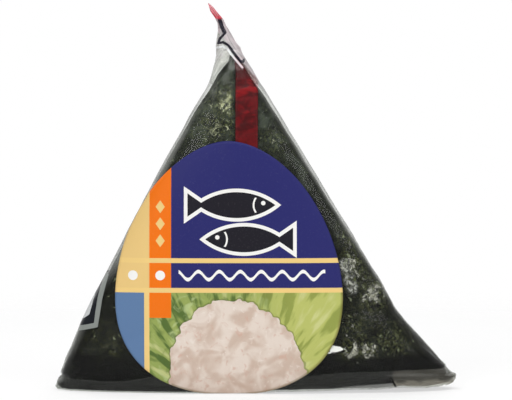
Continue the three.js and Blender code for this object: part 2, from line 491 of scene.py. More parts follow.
EGG_CENTRE_X = (label_low.x + label_high.x) / 2
EGG_HALF_WIDTH = (label_high.x - label_low.x) / 2
EGG_WIDEST_Z = 24.3
EGG_TOP_POWER = 1.8
EGG_BOTTOM_POWER = 2.3
EGG_RISE = label_high.z - EGG_WIDEST_Z
# The label's foot is pressed this much lower than the solid's, where the film turns under
LABEL_HANGS = 0.4
EGG_DROP = EGG_WIDEST_Z - label_low.z + LABEL_HANGS


def egg_share(x, z):
    """0 in the label's middle, 1 on its outline and more outside it."""
    upper = z > EGG_WIDEST_Z
    power = np.where(upper, EGG_TOP_POWER, EGG_BOTTOM_POWER)
    reach = np.where(upper, EGG_RISE, EGG_DROP)
    across = np.abs(x - EGG_CENTRE_X) / EGG_HALF_WIDTH
    return (across ** power + (np.abs(z - EGG_WIDEST_Z) / reach) ** power) ** (1 / power)


def crinkle_of(points, normals):
    """How crinkled each point is, from 0 to 1. Label and strip keep the film under them flat."""
    amount = np.full(len(points), CALM)
    for x, z, radius, strength in CRINKLED:
        distance = np.hypot(points[:, 0] - x, points[:, 2] - z)
        amount = np.maximum(amount, strength * ridge(distance, radius))
    from_label = LABEL_CALM - egg_share(points[:, 0], points[:, 2])
    under_label = np.clip(8 * from_label, 0, 1) * (normals[:, 1] < -0.3)
    from_strip = np.abs(points[:, 0] - STRIP_MIDDLE_X) - STRIP_HALF_WIDTH
    under_strip = np.clip(1.2 - from_strip, 0, 1)
    return amount * (1 - 0.9 * np.maximum(under_label, under_strip))


# %% [markdown]
# ## Pressing in the relief
# One Geometry Nodes tree shapes both the seaweed and the film: it moves every point along its
# normal, by the folds worked out above, by broad soft dents and by sharp fine crinkles. As a
# tree its sizes stay named inputs, and the two layers can share one pattern, which keeps the
# film just outside the seaweed.

# %% Relief tree
def tree_with(name, inputs):
    """An empty Geometry Nodes tree with these named inputs, as name to socket kind."""
    tree = bpy.data.node_groups.new(name, "GeometryNodeTree")
    tree.interface.new_socket("Geometry", in_out="INPUT", socket_type="NodeSocketGeometry")
    for label, kind in inputs.items():
        tree.interface.new_socket(label, in_out="INPUT", socket_type=kind)
    tree.interface.new_socket("Geometry", in_out="OUTPUT", socket_type="NodeSocketGeometry")
    pattern = Pattern(tree)
    return tree, pattern, pattern.node("NodeGroupInput")


def end_tree(pattern, geometry, paint):
    """Makes real geometry of what the tree made, and gives it its material."""
    real = pattern.node("GeometryNodeRealizeInstances", Geometry=geometry)
    painted = pattern.node("GeometryNodeSetMaterial", Geometry=real.outputs[0], Material=paint)
    leave = pattern.node("NodeGroupOutput")
    pattern.feed(leave.inputs[0], painted.outputs[0])


def grow(target, tree, values):
    """Runs a tree on an object with these values and keeps the plain mesh."""
    modifier = target.modifiers.new(tree.name, "NODES")
    modifier.node_group = tree
    for item in tree.interface.items_tree:
        if item.name in values:
            modifier[item.identifier] = values[item.name]
    baked(target)
    target.data.polygons.foreach_set("use_smooth", [True] * len(target.data.polygons))
    return target


def point_value(pattern, name, kind="FLOAT"):
    """What was written on the points under this name."""
    made = pattern.node("GeometryNodeInputNamedAttribute", {"data_type": kind}, Name=name)
    return Field(pattern, made.outputs[0])


RELIEF_SIZES = ("Broad height", "Broad size", "Fine height", "Fine size", "Seed")


def relief_tree():
    kinds = {name: "NodeSocketFloat" for name in RELIEF_SIZES}
    tree, pattern, given = tree_with("pressed_relief", {**kinds, "Material": "NodeSocketMaterial"})
    broad_height, broad_size, fine_height, fine_size, seed = (
        Field(pattern, given.outputs[name]) for name in RELIEF_SIZES
    )
    _, x, y, z = pattern.in_mm(pattern.node("GeometryNodeInputPosition").outputs[0])
    seeded = pattern.vector(x + 10 * seed, y, z)
    broad = pattern.noise(seeded, 1 / broad_size, detail=1.0)
    cloudy = pattern.noise(seeded, 1 / fine_size, detail=3.0, distortion=0.6)
    ridges = 1 - 5 * (cloudy - 0.5).apply("ABSOLUTE")
    crinkles = fine_height * point_value(pattern, "crinkle") * ridges
    lift = point_value(pattern, "lift") + broad_height * (broad - 0.5) + crinkles
    normal = pattern.node("GeometryNodeInputNormal").outputs[0]
    offset = pattern.node("ShaderNodeVectorMath", {"operation": "SCALE"}, Vector=normal, Scale=lift * MM)
    moved = pattern.node(
        "GeometryNodeSetPosition", Geometry=given.outputs["Geometry"], Offset=offset.outputs[0],
    )
    end_tree(pattern, moved.outputs[0], given.outputs["Material"])
    return tree


RELIEF = relief_tree()
WRINKLES = {"Broad height": 0.5, "Broad size": 7.0, "Fine height": 0.3, "Fine size": 2.6, "Seed": 3.0}


def from_form(name, points):
    """A copy of the pack's smooth form with its points moved."""
    made = in_scene(name, form.data.copy())
    set_points(made, points)
    return made


# %% [markdown]
# ## Seaweed finish
# Dried seaweed is a sheet pressed from shreds, like rough paper: almost black, with green where
# it is thin and small pale flecks where a shred stands up. Where the film crinkles there are more
# flecks, and olive shreds: both are partly the seaweed's own colour and partly painted highlight of
# the crinkled film. Noise at four sizes gives the mottling, the tufts, the grain and the shreds,
# which are warped until they look torn. A bump follows the tufts and shreds, so that light and
# colour agree.

# %% Seaweed material
def paint_seaweed(pattern, place, x, y, z):
    crinkle = pattern.attribute("crinkle")
    high = pattern.step(z, 30, 75)
    mottle = pattern.noise(place, 0.25, detail=3.0)
    tufts = pattern.noise(place, 0.8, detail=4.0, roughness=0.6, distortion=0.8)
    shreds = pattern.noise(place, 1.3, detail=4.0, roughness=0.65, distortion=1.5)
    grain = pattern.noise(place, 0.75, detail=3.0, distortion=0.5)
    # Over near black come a grey-green tone that grows towards the top, green, olive shreds and pale
    # flecks, which are partly painted highlight where the film crinkles, dark grain and the dark foot
    colour = pattern.layered(
        srgb(13, 13, 12),
        (high, srgb(40, 43, 39)),
        (pattern.step(mottle, 0.4, 0.65) * (0.12 + 0.88 * high), srgb(72, 78, 70)),
        (pattern.step(tufts, 0.5, 0.7) * (0.15 + 0.55 * high), srgb(70, 77, 54)),
        # Olive shreds where the film crinkles: partly the seaweed's own colour, partly painted highlight
        (pattern.step(shreds, 0.48, 0.62) * crinkle, srgb(112, 118, 72)),
        (pattern.step(grain, 0.52, 0.36) * 0.5, srgb(10, 11, 9)),
        # Pale flecks, more of them where the film crinkles: partly the seaweed's own, partly painted
        # highlight
        (pattern.step(grain + 0.08 * crinkle, 0.68, 0.74) * 0.6, srgb(140, 148, 116)),
        (pattern.step(z, 11.0, 8.0) * 0.82, srgb(6, 6, 7)),
    )
    return pattern.node(
        "ShaderNodeBsdfPrincipled", Base_Color=colour, Roughness=0.7, Specular_IOR_Level=0.04,
        Normal=pattern.bump(tufts * 0.5 + shreds * 0.5, 0.3, 0.7),
    )


SEAWEED = material("dried_seaweed", paint_seaweed)

# %% [markdown]
# ## The seaweed ball
# Inside the bag the ball is a little smaller: the film stands off it along the upper sides, most of
# all at the left of the top, which is the pale flap of empty film in the photo. The ball is the
# bag's form moved in by the film's gap and squeezed between two new side lines. The tail covers
# the flat top that cutting the solid left, so ball and bag are narrowed there to fit inside it.

# %% Seaweed ball
FACE_GAP = 0.5
# The share of the film's folds that the seaweed takes on, and its height over the floor in mm
BALL_FOLDS = 0.8
BALL_OFF_FLOOR = 0.3
# How much further in than that the ball's sides are, as (height, gap) in mm, or less far if under 0
LEFT_GAPS = np.array([
    (0, -0.3), (14, -0.3), (26, 0.0), (32, 0.1), (66, 0.1), (72, 0.3), (77, 0.7), (79, 1.0), (81, 1.9),
    (83, 3.1),
])
RIGHT_GAPS = np.array([
    (0, -0.45), (30, -0.45), (44, 0.0), (52, 0.1), (62, 0.2), (74, 0.5), (80, 1.3), (83, 1.9),
])
# Ball and bag are drawn in from this height up, by this share of the way to the apex
DRAWN_FROM = 82.5
DRAWN_IN = 0.4


def drawn_in(points):
    """Narrows the top, which the tail covers, towards the line the tail stands on."""
    share = ramp(points[:, 2], DRAWN_FROM, SHOULDER_Z)
    return points + (DRAWN_IN * share)[:, None] * (APEX - points) * (1, 1, 0)


def ball_edges(heights):
    """The ball's left and right side lines at these heights."""
    left = np.interp(heights, left_z, left_x) + np.interp(heights, *LEFT_GAPS.T)
    right = np.interp(heights, right_z, right_x) - np.interp(heights, *RIGHT_GAPS.T)
    return left, right


def squeezed(points):
    """Moves points in from the bag's side outlines to the ball's."""
    left = np.interp(points[:, 2], left_z, left_x)
    right = np.interp(points[:, 2], right_z, right_x)
    ball_left, ball_right = ball_edges(points[:, 2])
    share = (points[:, 0] - left) / (right - left)
    moved = points.copy()
    moved[:, 0] = ball_left + share * (ball_right - ball_left)
    return moved


ball_form = drawn_in(squeezed(form_points - FACE_GAP * form_normals))
ball = rounded_grid(from_form("seaweed_ball", ball_form), passes=4)
ball_points, ball_normals = arrays(ball)
set_attribute(ball, "lift", BALL_FOLDS * fold_lift(ball_points, ball_normals))
set_attribute(ball, "crinkle", crinkle_of(ball_points, ball_normals))
grow(ball, RELIEF, {**WRINKLES, "Material": SEAWEED})
kept_above(ball, BALL_OFF_FLOOR)
print("seaweed ball:", len(ball.data.vertices), "points")

# %% [markdown]
# ## Clear film finish
# A thin film has no depth to bend light in, so glass would be wrong: it is see-through, with a
# gloss on top that grows at a grazing angle, and a slight haze. The gloss grows by the usual curve,
# from one percent head on to 60 percent at the rim. Both are less than real film has, because the
# photo's faces are nearly free of gloss. It is worked out from the facing angle, which is the same
# from both sides of the film.

# %% Film shader
HEAD_ON_GLOSS = 0.009
GLANCING_GLOSS = 0.6


def film_shader(pattern, haze, haze_colour, normal, roughness=0.12):
    """Clear film that is covered by haze_colour as far as haze says."""
    facing = pattern.node("ShaderNodeLayerWeight", Blend=0.5, Normal=normal).outputs["Facing"]
    glancing = Field(pattern, facing).apply("POWER", 5.0)
    gloss_share = glancing * (GLANCING_GLOSS - HEAD_ON_GLOSS) + HEAD_ON_GLOSS
    clear = pattern.node("ShaderNodeBsdfTransparent", Color=(0.95, 0.96, 0.94, 1))
    cloudy = pattern.node("ShaderNodeBsdfDiffuse", Color=haze_colour, Normal=normal)
    gloss = pattern.node("ShaderNodeBsdfGlossy", Color=(1, 1, 1, 1), Roughness=roughness, Normal=normal)
    return pattern.blend(gloss_share, pattern.blend(haze, clear, cloudy), gloss)


# %% [markdown]
# A mark is printed on the film's left side: a grey line that turns a corner, a dark band inside
# it and a pale field up to the edge. Their inner sides are known by which side of each stretch of
# a path a place is on, which is simple vector work and needs no picture. The mark runs on round the
# side, where a wrinkle would bend its edges, so it reads each point's x from before the relief.

# %% Film material
MARK_PATH = [(-37.7, 28.8), (-39.0, 23.5), (-39.9, 17.2), (-44.8, 16.0)]
MARK_TOP = 29.8
MARK_BACK = 9.0
MARK_LINE = 0.6
MARK_FIELD = [(-40.5, 24.0), (-41.6, 19.8), (-43.8, 18.0)]
# A painted highlight: a near-white patch of film on a fold by the label, inside this outline
FOLD_HIGHLIGHT = [(17.4, 9.9), (18.9, 12.6), (23.4, 11.3), (20.0, 10.6)]
# A painted sheen, a soft pale patch of film by the label's edge, runs along this line and reaches
# this far to each side
PAINTED_SHEEN_LINE = [(22.0, 33.0), (22.9, 29.4), (24.2, 26.6)]
PAINTED_SHEEN_REACH = 1.9


def sides_of(x, z, path):
    """How far to the right of each stretch of a path a place is, in mm."""
    sides = []
    for (x1, z1), (x2, z2) in zip(path, path[1:]):
        length = math.hypot(x2 - x1, z2 - z1)
        sides.append((x - x1) * ((z2 - z1) / length) + (z - z1) * ((x1 - x2) / length))
    return sides


def mark_depth(x, z):
    """How far inside the printed mark a place is. The path bends outwards, then inwards."""
    upper, lower, foot = sides_of(x, z, MARK_PATH)
    return upper.at_least(lower).at_most(foot)


def depth_inside(x, z, path):
    """How far inside a path that only bends inwards a place is."""
    depth, *others = sides_of(x, z, path)
    for side in others:
        depth = depth.at_most(side)
    return depth


def distance_to_line(x, z, points):
    """Distance from a line through these points, in mm."""
    nearest = None
    for (x1, z1), (x2, z2) in zip(points, points[1:]):
        length = math.hypot(x2 - x1, z2 - z1)
        step_x, step_z = (x2 - x1) / length, (z2 - z1) / length
        along = (x - x1) * step_x + (z - z1) * step_z
        along = along.at_least(0.0).at_most(length)
        off_x = x - x1 - along * step_x
        off_z = z - z1 - along * step_z
        distance = (off_x * off_x + off_z * off_z).apply("SQRT")
        nearest = distance if nearest is None else nearest.at_most(distance)
    return nearest


def printed_mark(pattern, y, z):
    """Where the mark is, as a share, and its colour."""
    x = pattern.attribute("unwrinkled_x")
    depth = mark_depth(x, z)
    share = pattern.inside(0 - MARK_LINE - depth)
    share = share * pattern.inside(y - MARK_BACK) * pattern.inside(z - MARK_TOP)
    return share, pattern.layered(
        srgb(142, 147, 143),
        (pattern.inside(MARK_LINE - depth), srgb(30, 33, 38)),
        (pattern.inside(0 - depth_inside(x, z, MARK_FIELD)), srgb(205, 208, 208)),
    )


def paint_film(pattern, place, x, y, z):
    crinkle = pattern.attribute("crinkle")
    fine = pattern.noise(place, 1.1, detail=3.0, distortion=0.8)
    soft = pattern.noise(place, 0.3, detail=2.0)
    winding = pattern.noise(place, 0.6, detail=2.0, distortion=1.5)
    patchy = pattern.noise(place, 0.55, detail=2.0)
    streaks = pattern.noise(pattern.vector(0.0, y, z * 0.08), 0.5, detail=2.0)
    # Where the film is crinkled, thin curls are painted glints and a mist is partly film haze and
    # partly painted highlight, both in the tint below
    curls = pattern.step((winding - 0.5).apply("ABSOLUTE"), 0.035, 0.008)
    curls = curls * pattern.step(patchy * 0.8 + crinkle * 0.4, 0.62, 0.76)
    mist_and_highlight = pattern.step(patchy * 0.7 + fine * 0.5 + crinkle * 0.5, 0.95, 1.15)
    tint = pattern.mix(pattern.step(z, 42, 58), srgb(206, 207, 190), srgb(204, 210, 164))
    # The painted highlight on the fold and the painted sheen are on the front only, where y is under 0
    in_fold_highlight = depth_inside(x, z, FOLD_HIGHLIGHT + FOLD_HIGHLIGHT[:1])
    fold_highlight = pattern.step(in_fold_highlight + 1.5 * (fine - 0.5), 0.0, 0.25) * pattern.inside(y)
    painted_sheen = pattern.step(distance_to_line(x, z, PAINTED_SHEEN_LINE) + 2 * (winding - 0.5), PAINTED_SHEEN_REACH, 0.2)
    painted_sheen = painted_sheen * pattern.inside(y) * pattern.step(fine + 0.5 * patchy, 0.5, 1.0) * 0.75
    printed, mark = printed_mark(pattern, y, z)
    colour = pattern.layered(
        srgb(152, 154, 149),
        (pattern.attribute("pale"), srgb(250, 251, 247)),
        (mist_and_highlight.at_least(curls), tint),
        (fold_highlight, srgb(240, 242, 236)),
        (painted_sheen, srgb(222, 224, 212)),
        (printed, mark),
    )
    haze = pattern.attribute("layers") * (0.5 + pattern.step(streaks, 0.3, 0.7))
    for share in (mist_and_highlight * (0.15 + 0.3 * crinkle), curls * 0.75, painted_sheen, (printed + fold_highlight) * 0.96):
        haze = haze.at_least(share)
    return film_shader(pattern, haze, colour, pattern.bump(fine * crinkle + soft * 0.2, 0.45, 0.8))


FILM = material("clear_film", paint_film)

# %% [markdown]
# ## The film bag
# The bag is the smooth form itself with the relief pressed in. How hazy and how pale the film is
# depends on how many layers lie over each other: one on the faces, several on the sloping sides
# where the sheets are lapped, and loose doubled film at the left of the top. Both numbers are
# written on the bag's points, and the material reads them from there.

# %% Film bag
# The sloping sides' haze, as (height, haze)
LEFT_HAZE = np.array([(5, 0.1), (12, 0.6), (30, 0.4), (60, 0.4)])
RIGHT_HAZE = np.array([(5, 0.0), (20, 0.03), (30, 0.25), (42, 0.35), (60, 0.5)])
# Lapped film along a sloping side: its haze, the heights it starts at, over what height it comes in,
# how far in from the ball's edge it reaches, as (height, reach), and over what width it fades, in mm
BAND_HAZE = 0.8
LEFT_BAND_FROM, RIGHT_BAND_FROM = 26, 40
BAND_RISE = 8
LEFT_REACH = np.array([(30, 3.0), (50, 2.6), (66, 2.2), (75, 0.7)])
RIGHT_REACH = np.array([(66, 1.5), (80, 1.2)])
BAND_FADE = 2
# How near to white the haze is where a side is seen edge on, at the left as (height, share)
LEFT_PALENESS = np.array([(45, 0.1), (65, 0.45)])
RIGHT_PALENESS = 0.45
# Between the two folds of a side the film is thinner, and lies on the ball
SIDE_MIDDLE_HAZE = 0.35
FOLD_FROM, FOLD_TO = 3.0, 9.0
# The heights over which a side is hazy right across, and over which the foot passes into the faces
ALL_HAZY_FROM, ALL_HAZY_TO = 72, 80
FOOT_FROM, FOOT_TO = 7, 13
FOOT_HAZE = 0.003
FACE_HAZE = 0.008
# The empty film at the top: where it comes in, and how far it reaches over the ball's edge
LOOSE_FROM, LOOSE_TO = 70, 80
LOOSE_REACH = 0.4
FILM_OFF_FLOOR = 0.05


def loose_share(points):
    """1 where film stands empty at the left of the top, or over the apex, else 0."""
    heights = points[:, 2]
    ball_left, _ = ball_edges(heights)
    ball_left += 20 * np.clip(heights - SHOULDER_Z, 0, 1)
    empty = np.clip(0.9 * (ball_left + LOOSE_REACH - points[:, 0]), 0, 1)
    return empty * ramp(heights, LOOSE_FROM, LOOSE_TO)


def band_share(points):
    """1 where film is lapped along either sloping side, fading to 0 inwards."""
    heights = points[:, 2]
    ball_left, ball_right = ball_edges(heights)
    from_left = ball_left - points[:, 0] + np.interp(heights, *LEFT_REACH.T)
    from_right = points[:, 0] - ball_right + np.interp(heights, *RIGHT_REACH.T)
    on_left = ramp(from_left, 0, BAND_FADE) * ramp(heights, LEFT_BAND_FROM, LEFT_BAND_FROM + BAND_RISE)
    on_right = ramp(from_right, 0, BAND_FADE) * ramp(heights, RIGHT_BAND_FROM, RIGHT_BAND_FROM + BAND_RISE)
    return np.maximum(on_left, on_right)


def film_layers(points, normals):
    """How hazy the film is at each point, from 0 to 1."""
    sideways = np.clip(1.5 * (0.8 - np.abs(normals[:, 1])), 0, 1)
    on_left = np.interp(points[:, 2], *LEFT_HAZE.T)
    on_right = np.interp(points[:, 2], *RIGHT_HAZE.T)
    haze = sideways * np.where(points[:, 0] < 0, on_left, on_right)
    haze = np.maximum(haze, BAND_HAZE * band_share(points))
    near_fold = ramp(np.abs(points[:, 1]), FOLD_FROM, FOLD_TO)
    near_fold = np.maximum(near_fold, ramp(points[:, 2], ALL_HAZY_FROM, ALL_HAZY_TO))
    least = FOOT_HAZE + (FACE_HAZE - FOOT_HAZE) * ramp(points[:, 2], FOOT_FROM, FOOT_TO)
    return least + haze * (SIDE_MIDDLE_HAZE + (1 - SIDE_MIDDLE_HAZE) * near_fold)


def film_paleness(points, normals):
    """0 where the haze is grey, 1 where it is nearly white."""
    edge_on = np.clip(1 - 2 * np.abs(normals[:, 1]), 0, 1)
    on_left = np.interp(points[:, 2], *LEFT_PALENESS.T)
    paleness = edge_on * np.where(points[:, 0] < 0, on_left, RIGHT_PALENESS)
    return np.maximum(paleness, loose_share(points))


bag = from_form("film_bag", drawn_in(form_points))
set_attribute(bag, "lift", fold_lift(form_points, form_normals))
set_attribute(bag, "crinkle", crinkle_of(form_points, form_normals))
set_attribute(bag, "layers", film_layers(form_points, form_normals))
set_attribute(bag, "pale", film_paleness(form_points, form_normals))
set_attribute(bag, "unwrinkled_x", form_points[:, 0])
grow(bag, RELIEF, {**WRINKLES, "Fine height": 0.42, "Material": FILM})
kept_above(bag, FILM_OFF_FLOOR)
print("film bag:", len(bag.data.vertices), "points")

# %% [markdown]
# ## The bottom fold
# Under the ball the film is folded up into a smooth band that shows as a grey stripe along the
# bottom. Its upper edge is a line of heights. The band is the bag's own surface below that line,
# stepped off a little and given a thickness, so it follows every fold of the bag.

# %% Bottom fold
# The upper edge, as (x, z) in mm
HEM_TOP = np.array([
    (-50, 3.5), (-38, 2.8), (-33, 3.0), (-29, 3.7), (-25, 4.6), (14, 4.7), (22, 5.4), (31, 5.6), (50, 5.7),
])
HEM_LIFT = 0.12
HEM_THICKNESS = 0.08
UNDERSIDE = -0.8
HEM_NOTCH_X = 34.2


def folded_hem(name):
    points, normals = arrays(bag)
    top = np.interp(points[:, 0], *HEM_TOP.T)
    above = points[:, 2] > top
    placed = points + HEM_LIFT * normals
    placed[above, 2] = top[above]
    work = bmesh.new()
    work.from_mesh(bag.data)
    gone = [
        face for face in work.faces
        if face.normal.z < UNDERSIDE or all(above[corner.index] for corner in face.verts)
    ]
    for corner in work.verts:
        corner.co = placed[corner.index] * MM
    bmesh.ops.delete(work, geom=gone, context="FACES")
    made = from_edited(name, work)
    wall = made.modifiers.new("thickness", "SOLIDIFY")
    wall.thickness = HEM_THICKNESS * MM
    wall.offset = 1
    return baked(made)


def paint_hem(pattern, place, x, y, z):
    soft = pattern.noise(place, 0.35, detail=2.0)
    right = pattern.step(x, HEM_NOTCH_X - 0.2, HEM_NOTCH_X + 0.2)
    # Along the bottom right of the notch, and in a sliver left of it, the haze is raised: painted reflection
    # of the floor
    painted_low_reflection = pattern.step(z + 3 * (soft - 0.5), 3.2, 2.2)
    painted_sliver_reflection = pattern.step(x, 18, 28) * (1 - right) * pattern.step(z - 0.06 * x, 0.6, 0.2)
    haze = 0.015 * soft + 0.045 * right + 0.2 * right * painted_low_reflection + 0.35 * painted_sliver_reflection
    colour = pattern.mix(right, srgb(166, 167, 164), srgb(180, 174, 160))
    from_notch = (x - HEM_NOTCH_X - 0.5 * (3.0 - z)).apply("ABSOLUTE")
    notch = pattern.inside(from_notch - 0.28) * pattern.inside(z - 3.6)
    haze = haze.at_least(notch * 0.9)
    colour = pattern.mix(notch, colour, srgb(24, 24, 23))
    return film_shader(pattern, haze, colour, pattern.bump(soft, 0.3, 0.4), roughness=0.25)


hem = folded_hem("film_hem")
hem.data.materials.clear()
hem.data.materials.append(material("folded_film", paint_hem))
kept_above(hem, FILM_OFF_FLOOR)
print("bottom fold:", len(hem.data.vertices), "points")

# %% [markdown]
# ## The pleated tail
# Over the apex the film is drawn together, pleated and twisted into a tail, whose tip is the red
# end of the tear strip. It is a loft: rings that start on the bag and pass over to the tail's own
# left and right lines, with pleats that deepen upwards and turn as they climb.

# %% Tail shape
# Height, left side, right side and half depth, in mm
TAIL_LINES = np.array([
    (80.0, -11.4, -0.6, 7.0), (82.5, -10.5, -2.3, 6.0), (84.2, -10.2, -3.2, 5.0),
    (86.2, -10.2, -3.8, 4.0), (88.2, -9.9, -5.1, 3.4), (90.2, -9.6, -6.3, 2.9),
    (92.2, -9.7, -7.6, 2.3), (93.6, -10.4, -8.2, 2.0), (95.2, -11.5, -9.6, 1.5),
    (96.6, -11.9, -10.8, 0.9), (97.4, -12.1, -11.8, 0.3),
])
TAIL_FOOT = 77.6
TAIL_RISE = 3.0
TAIL_FREE = 86.2
TAIL_ROWS = 90
TAIL_COLUMNS = 120
PLEATS = 8
PLEAT_TURN = 0.07
OVER_BAG = 0.5
LESS_AT_LEFT = 0.35
PLEATS_START = 84.0
TILT = 0.2
FOOT_DEPTH = 4
# Rays are shot over this distance, in mm
FAR = 100


def closed_rings(rings):
    """Points and faces of stacked rings. A cone inside closes the foot and a fan the tip."""
    rows, columns = len(rings), len(rings[0])
    foot_point = rings[0].mean(axis=0) - (0, 0, FOOT_DEPTH)
    points = np.concatenate([*rings, [foot_point], [rings[-1].mean(axis=0)]])
    foot, tip = rows * columns, rows * columns + 1
    last = (rows - 1) * columns
    faces = []
    for j in range(columns):
        k = (j + 1) % columns
        faces.append((foot, k, j))
        faces.append((tip, last + j, last + k))
        for i in range(0, last, columns):
            faces.append((i + j, i + k, i + columns + k, i + columns + j))
    return points, faces


def bag_radius(x, z, across, through):
    """How far the bag's form reaches from (x, 0, z) in a level direction."""
    start, direction = Vector((x, 0, z)) * MM, Vector((across, through, 0))
    hit, _, _, distance = form_tree.ray_cast(start, direction, FAR * MM)
    return distance / MM if hit else 0.0


def tail_ring(height):
    turns = np.linspace(0, 2 * np.pi, TAIL_COLUMNS, endpoint=False)
    left, right, depth = (np.interp(height, TAIL_LINES[:, 0], TAIL_LINES[:, i]) for i in (1, 2, 3))
    middle, half = (left + right) / 2, (right - left) / 2
    climb = (height - TAIL_FOOT) / (TAIL_LINES[-1, 0] - TAIL_FOOT)
    free = ramp(height, TAIL_FOOT, TAIL_FREE)
    over_strip = np.clip((height - TAIL_FOOT) / TAIL_RISE, 0, 1)
    pleated = ramp(height, PLEATS_START, PLEATS_START + 2)
    tilt = TILT * ramp(height, TAIL_FREE, TAIL_FREE + 2)
    ring = []
    for turn in turns:
        across, through = math.cos(turn), math.sin(turn)
        ellipse = 1 / math.hypot(across / half, through / depth)
        off_bag = 0.1 + over_strip * (OVER_BAG - LESS_AT_LEFT * max(-across, 0))
        lifted = bag_radius(middle, height, across, through) + off_bag
        radius = lifted + (ellipse - lifted) * free
        wander = PLEAT_TURN * (height - TAIL_FOOT) + 0.12 * math.sin(2 * turn)
        pleat = 0.5 - 0.5 * math.cos(PLEATS * (turn + wander))
        radius *= 1 - pleated * (0.1 + 0.45 * climb ** 1.5) * pleat
        if height < TAIL_FREE:
            radius = max(radius, lifted)
        x = middle + radius * across
        ring.append((x, radius * through, height - tilt * (x - middle)))
    return np.array(ring)


# %% [markdown]
# The tail's print is dark strokes with pale ones beside them. A stroke is drawn by its distance: a
# place is inside it where the nearest point of the line is closer than half its width.

# %% Tail finish
RED_FROM_Z = 93.4
# Each stroke is half its width and its points in x and z
THICK_STROKE = (0.5, [(-9.3, 93.8), (-8.6, 91.6), (-7.9, 90.1)])
THIN_STROKE = (0.31, [
    (-7.9, 89.8), (-9.1, 88.5), (-9.5, 87.4), (-8.3, 87.6), (-7.0, 86.9), (-5.5, 85.0), (-3.9, 83.0),
    (-3.2, 82.8), (-3.0, 83.3),
])
PALE_STROKE = (0.26, [(-9.9, 86.2), (-8.3, 86.6), (-7.2, 86.0), (-5.4, 83.7), (-3.4, 81.4)])


def paint_tail(pattern, place, x, y, z):
    streaks = pattern.noise(pattern.vector(x, y * 1.4, z * 0.2), 0.5, detail=1.0)
    dark = None
    for half_width, points in (THICK_STROKE, THIN_STROKE):
        stroke = pattern.inside(distance_to_line(x, z, points) - half_width)
        dark = stroke if dark is None else dark.at_least(stroke)
    pale = pattern.inside(distance_to_line(x, z, PALE_STROKE[1]) - PALE_STROKE[0])
    beyond = pattern.step((x + 7.0) * 0.77 + (z - 87.0) * 0.64, -0.15, 0.25)
    red = pattern.step(z + streaks * 0.8, RED_FROM_Z + 0.2, RED_FROM_Z + 0.9)
    pinker = pattern.step(z + 2 * streaks + 0.5 * x, 90.0, 92.0)
    colour = pattern.layered(
        srgb(188, 182, 184),
        (pattern.step(streaks, 0.3, 0.6), pattern.mix(beyond, srgb(206, 207, 200), srgb(224, 210, 214))),
        (pale, pattern.mix(pattern.step(x, -6.5, -4.0), srgb(232, 234, 234), srgb(222, 204, 208))),
        (dark, srgb(36, 34, 46)),
        (red, pattern.mix(pinker, srgb(222, 80, 96), srgb(238, 160, 170))),
    )
    haze = pattern.attribute("layers").at_least(beyond * 0.62) * (0.8 + 0.4 * streaks)
    haze = haze.at_least(pale.at_least(dark) * 0.92).at_least(red * 0.7)
    return film_shader(pattern, haze, colour, pattern.bump(streaks, 0.2, 0.5), roughness=0.15)


TAIL_FILM = material("tail_film", paint_tail)
tail_heights = np.linspace(TAIL_FOOT, TAIL_LINES[-1, 0], TAIL_ROWS)
tail_skin = closed_rings([tail_ring(height) for height in tail_heights])
tail = new_object("film_tail", *tail_skin, TAIL_FILM)
tail_points, _ = arrays(tail)
set_attribute(tail, "layers", 0.45 * loose_share(tail_points) * ramp(tail_points[:, 2], 80, 84))
print("tail:", len(tail.data.vertices), "points")

# %% [markdown]
# ## Sheets stuck on the bag
# The label and the tear strip lie on the film, so their points are found by shooting rays at the
# smooth form and stepping off it along the normal. Each becomes a thin closed shell: an outer
# face, an inner face and a rim, so it has a true edge from the side.

# %% Stuck sheets
SHEET_OFF_FLOOR = 0.1


def on_form(origin, direction):
    """Where a ray from this place last leaves the form, in mm, and the normal there."""
    direction = Vector(direction)
    outside = (Vector(origin) + direction * FAR) * MM
    hit, normal, _, _ = form_tree.ray_cast(outside, -direction, 2 * FAR * MM)
    return np.array(hit) / MM, np.array(normal)


def smoothed_normals(normals, passes=3):
    """Normals of a grid, averaged with their neighbours so that a sheet lies calmly."""
    for _ in range(passes):
        padded = np.pad(normals, ((1, 1), (1, 1), (0, 0)), mode="edge")
        normals = padded[:-2, 1:-1] + padded[2:, 1:-1] + padded[1:-1, :-2] + padded[1:-1, 2:]
        normals /= np.linalg.norm(normals, axis=2, keepdims=True)
    return normals


def shell(name, outer, inner, paint, rings=False):
    """A closed sheet between two grids of points. Its rows are rings round a middle or go across."""
    rows, columns = outer.shape[:2]
    middles = [outer[0].mean(axis=0), inner[0].mean(axis=0)] if rings else []
    points = np.array([*outer.reshape(-1, 3), *inner.reshape(-1, 3), *middles])
    points[:, 2] = np.maximum(points[:, 2], SHEET_OFF_FLOOR)
    below = rows * columns
    index = np.arange(below).reshape(rows, columns)
    if rings:
        index = np.concatenate([index, index[:, :1]], axis=1)
    first_row = list(zip(index[0, :-1], index[0, 1:]))
    rim = list(zip(index[-1, 1:], index[-1, :-1]))
    if not rings:
        rim += first_row
        rim += list(zip(index[1:, 0], index[:-1, 0])) + list(zip(index[:-1, -1], index[1:, -1]))
    corners = (index[:-1, :-1], index[:-1, 1:], index[1:, 1:], index[1:, :-1])
    faces = []
    for a, b, c, d in zip(*(corner.ravel() for corner in corners)):
        faces.append((a, d, c, b))
        faces.append((below + a, below + b, below + c, below + d))
    faces += [(a, b, below + b, below + a) for a, b in rim]
    if rings:
        faces += [(a, b, 2 * below) for a, b in first_row]
        faces += [(below + b, below + a, 2 * below + 1) for a, b in first_row]
    made = new_object(name, points, [tuple(int(i) for i in face) for face in faces], paint)
    work = bmesh.new()
    work.from_mesh(made.data)
    bmesh.ops.recalc_face_normals(work, faces=work.faces)
    work.to_mesh(made.data)
    work.free()
    return made


